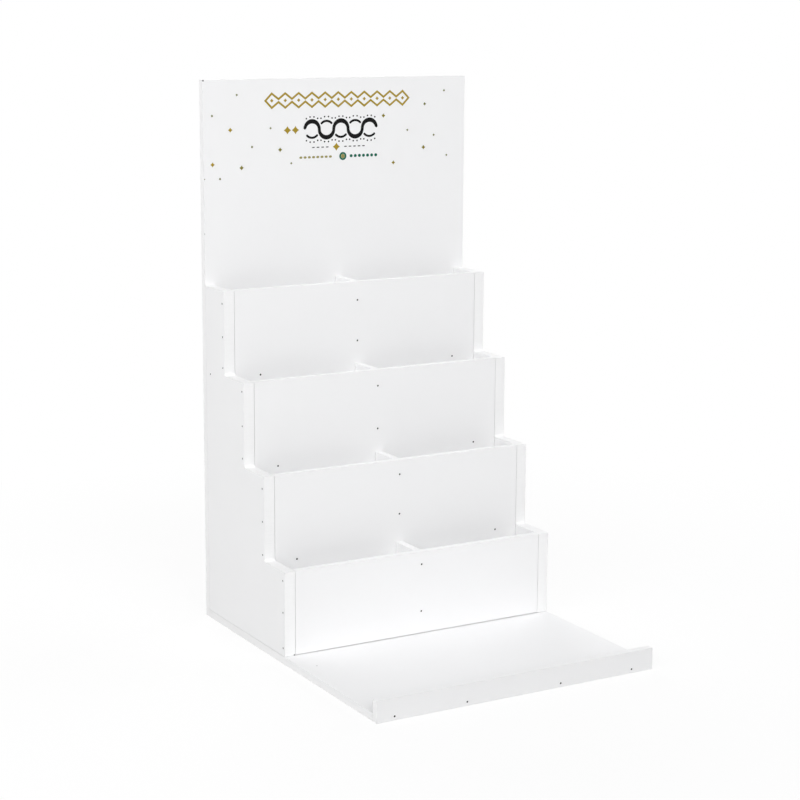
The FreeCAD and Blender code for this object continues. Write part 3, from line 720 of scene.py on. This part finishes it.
def film_finish(name, ink, uneven, other_ink=None, gloss=FILM_GLOSS):
    """Ink times its tone. With a second ink, the piece's own tint says how much of the first there is."""
    material, tree, shader = new_material(name)
    where = tree.nodes.new("ShaderNodeTexCoord").outputs["Object"]
    inked = placed(tree, ink_group, {"Vector": where, "Uneven": uneven})
    base = ink
    if other_ink:
        tint = step(tree, "ShaderNodeAttribute", attribute_name="tint").outputs["Fac"]
        base = mixed(tree, tint, other_ink, ink)
    tree.links.new(mixed(tree, 1.0, base, inked["Tone"], "MULTIPLY"), shader.inputs["Base Color"])
    tree.links.new(inked["Roughness"], shader.inputs["Roughness"])
    shader.inputs["Specular IOR Level"].default_value = gloss
    bump = step(tree, "ShaderNodeBump", {"Strength": 0.2, "Distance": FILM_GRAIN, "Height": inked["Height"]})
    tree.links.new(bump.outputs[0], shader.inputs["Normal"])
    return material


GOLD, OLIVE_GOLD, BLACK = (0.36, 0.255, 0.022, 1), (0.135, 0.14, 0.025, 1), (0.006, 0.006, 0.006, 1)
OLIVE, GREEN = (0.30, 0.27, 0.09, 1), (0.010, 0.125, 0.078, 1)
EVEN, BLOTCHY, WORN_THIN = 0.14, 0.2, 0.3
FILMS = ((garland_piece, film_finish("film_gold", GOLD, EVEN)),
         (confetti_piece, film_finish("film_confetti", GOLD, EVEN, OLIVE_GOLD)),
         (wave_piece, film_finish("film_black", BLACK, WORN_THIN, gloss=BLACK_GLOSS)),
         (olive_piece, film_finish("film_olive", OLIVE, EVEN)),
         (green_piece, film_finish("film_green", GREEN, BLOTCHY, gloss=DULL_GLOSS)))
for piece, film in FILMS:
    piece.data.materials.append(film)
print(len(FILMS), "films")

# %% [markdown]
# The floor and the room.
#
# The stand was cut out on pure white, with hardly a shadow left. A bright white floor would do that too,
# but it throws so much light up at the boards that the pockets' mouths look dark beside them. So for the
# light that it gives back the floor is a matt light grey, and what the camera, a reflection or a pane of
# glass sees of it is mostly plain white. Near the stand a small share of a lit white floor is mixed in,
# which keeps the soft shadow at its foot, and further out that share fades away, so no horizon shows.

# %% Floor
FLOOR_REACH = 14.0
u, v = np.meshgrid(np.linspace(-1, 1, 2), np.linspace(-1, 1, 2))
floor_points = np.stack([u * FLOOR_REACH, v * FLOOR_REACH, 0 * u], axis=-1).reshape(-1, 3)
mesh = bpy.data.meshes.new("floor")
mesh.from_pydata(floor_points.tolist(), [], grid_faces(2, 2, wrap_columns=False).tolist())
floor = bpy.data.objects.new("floor", mesh)
bpy.context.scene.collection.objects.link(floor)
print("the floor is", 2 * FLOOR_REACH, "m wide")

# %% Floor finish
SHADOW_SHARE, SHADOW_NEAR, SHADOW_FAR = 0.14, 0.45, 1.1
FLOOR_GREY, FLOOR_ROUGHNESS = 0.62, 0.9
PURE_WHITE = (1, 1, 1, 1)
material, tree, matt = new_material("pale_floor")
matt.inputs["Base Color"].default_value = (FLOOR_GREY, FLOOR_GREY, FLOOR_GREY, 1)
matt.inputs["Roughness"].default_value = FLOOR_ROUGHNESS


def seen_by_eye(tree):
    """One for camera, mirror and glass rays, and nought for light that spreads."""
    ray = tree.nodes.new("ShaderNodeLightPath").outputs
    seen_or_mirrored = maths(tree, "MAXIMUM", ray["Is Camera Ray"], ray["Is Glossy Ray"])
    return maths(tree, "MAXIMUM", seen_or_mirrored, ray["Is Transmission Ray"])


away = step(tree, "ShaderNodeVectorMath", {0: tree.nodes.new("ShaderNodeTexCoord").outputs["Object"]},
            operation="LENGTH").outputs["Value"]
shadow_share = spread(tree, away, SHADOW_NEAR, SHADOW_FAR, SHADOW_SHARE, 0.0)
plain = step(tree, "ShaderNodeEmission", {"Color": PURE_WHITE, "Strength": 1.0}).outputs[0]
lit_white = step(tree, "ShaderNodeBsdfDiffuse", {"Color": PURE_WHITE}).outputs[0]
for_eyes = step(tree, "ShaderNodeMixShader", {0: shadow_share, 1: plain, 2: lit_white}).outputs[0]
mixer = step(tree, "ShaderNodeMixShader", {0: seen_by_eye(tree), 1: matt.outputs[0], 2: for_eyes})
tree.links.new(mixer.outputs[0], tree.nodes["Material Output"].inputs["Surface"])
floor.data.materials.append(material)
print("the shadow's share ends", SHADOW_FAR, "m out")

# %% World
LIGHT_STRENGTH = 0.05
world = bpy.data.worlds.new("white_room")
bpy.context.scene.world = world
world.use_nodes = True
tree = world.node_tree
for node in list(tree.nodes):
    tree.nodes.remove(node)
eye = seen_by_eye(tree)
light = step(tree, "ShaderNodeBackground", {"Color": PURE_WHITE, "Strength": LIGHT_STRENGTH})
backdrop = step(tree, "ShaderNodeBackground", {"Color": PURE_WHITE, "Strength": 1.0})
mixer = step(tree, "ShaderNodeMixShader", {0: eye, 1: light.outputs[0], 2: backdrop.outputs[0]})
tree.links.new(mixer.outputs[0], step(tree, "ShaderNodeOutputWorld").inputs["Surface"])
print("the room gives", LIGHT_STRENGTH, "of full light")

# %% [markdown]
# Soft lamps.
#
# The light in such a product picture is very flat. Even light from a white room would be the simplest way,
# but it would leave the pockets dark. So most of it is a broad even glow from high in front, and wide soft
# lamps stand round the stand at the front left, left, right, behind and above. Each lamp is placed by its
# bearing from the front, its height in degrees and its distance from the middle of the stand.

# %% Lamps
AIM = Vector((0, 0, 0.35))
LAMP_DISTANCE, LAMP_SIZE, CEILING_DISTANCE, CEILING_SIZE = 4.0, 2.4, 2.0, 1.4
COOL = (0.96, 0.98, 1)


def towards(bearing, height):
    """The direction from the stand to a lamp. Bearing 0 is straight in front, and 90 is on the right."""
    bearing, height = radians(bearing), radians(height)
    return Vector((sin(bearing) * cos(height), -cos(bearing) * cos(height), sin(height)))


def hang_lamp(name, lamp, direction, distance):
    """Puts a lamp out along a direction, turned to the middle of the stand."""
    holder = bpy.data.objects.new(name, lamp)
    holder.location = AIM + direction * distance
    holder.rotation_euler = (-direction).to_track_quat("-Z", "Y").to_euler()
    holder.visible_camera = False
    bpy.context.scene.collection.objects.link(holder)


def soft_lamp(name, direction, power, distance=LAMP_DISTANCE, size=LAMP_SIZE, colour=(1, 1, 1)):
    """A square lamp of the given power in watts."""
    lamp = bpy.data.lights.new(name, "AREA")
    lamp.shape, lamp.size, lamp.energy, lamp.color = "SQUARE", size, power, colour
    hang_lamp(name, lamp, direction, distance)


soft_lamp("lamp_front_left", towards(-60, 25), 70)
soft_lamp("lamp_left", towards(-90, 15), 40)
soft_lamp("lamp_right", towards(90, 12), 80, colour=COOL)
soft_lamp("lamp_behind", towards(170, 12), 84)
soft_lamp("lamp_above", towards(180, 86), 6, CEILING_DISTANCE, CEILING_SIZE)
GLOW_STRENGTH, GLOW_ANGLE = 1.45, 40
glow = bpy.data.lights.new("glow_from_front", "SUN")
glow.energy, glow.angle = GLOW_STRENGTH, radians(GLOW_ANGLE)
hang_lamp("glow_from_front", glow, towards(0, 35), LAMP_DISTANCE)
print("five lamps and a glow")

# %% [markdown]
# The camera.
#
# The view could be found by eye, by moving the camera until the picture looks right, but a few degrees
# more or less would bend every edge. So it was found by fitting a camera to every visible edge of the
# stand at once: it stands to the front left, looks down by about eleven and a half degrees and uses a
# long lens. The turns are made in order: heading about the vertical, then the pitch, then a slight roll.

# %% Camera
FOCAL_PIXELS, PICTURE_PIXELS, SENSOR = 1984.09, 800, 36.0
CAMERA_PLACE = (-1.27921, -2.15463, 0.83420)
HEADING, PITCH, ROLL = radians(-30.038), radians(90 - 11.503), radians(0.357)
camera_data = bpy.data.cameras.new("camera")
camera_data.sensor_width = SENSOR
camera_data.lens = FOCAL_PIXELS / PICTURE_PIXELS * SENSOR
camera = bpy.data.objects.new("camera", camera_data)
bpy.context.scene.collection.objects.link(camera)
camera.matrix_world = (Matrix.Translation(CAMERA_PLACE) @ Matrix.Rotation(HEADING, 4, "Z")
                       @ Matrix.Rotation(PITCH, 4, "X") @ Matrix.Rotation(ROLL, 4, "Z"))
bpy.context.scene.camera = camera
bpy.context.scene.view_settings.view_transform = "Standard"
print("lens", round(camera_data.lens, 2), "mm")
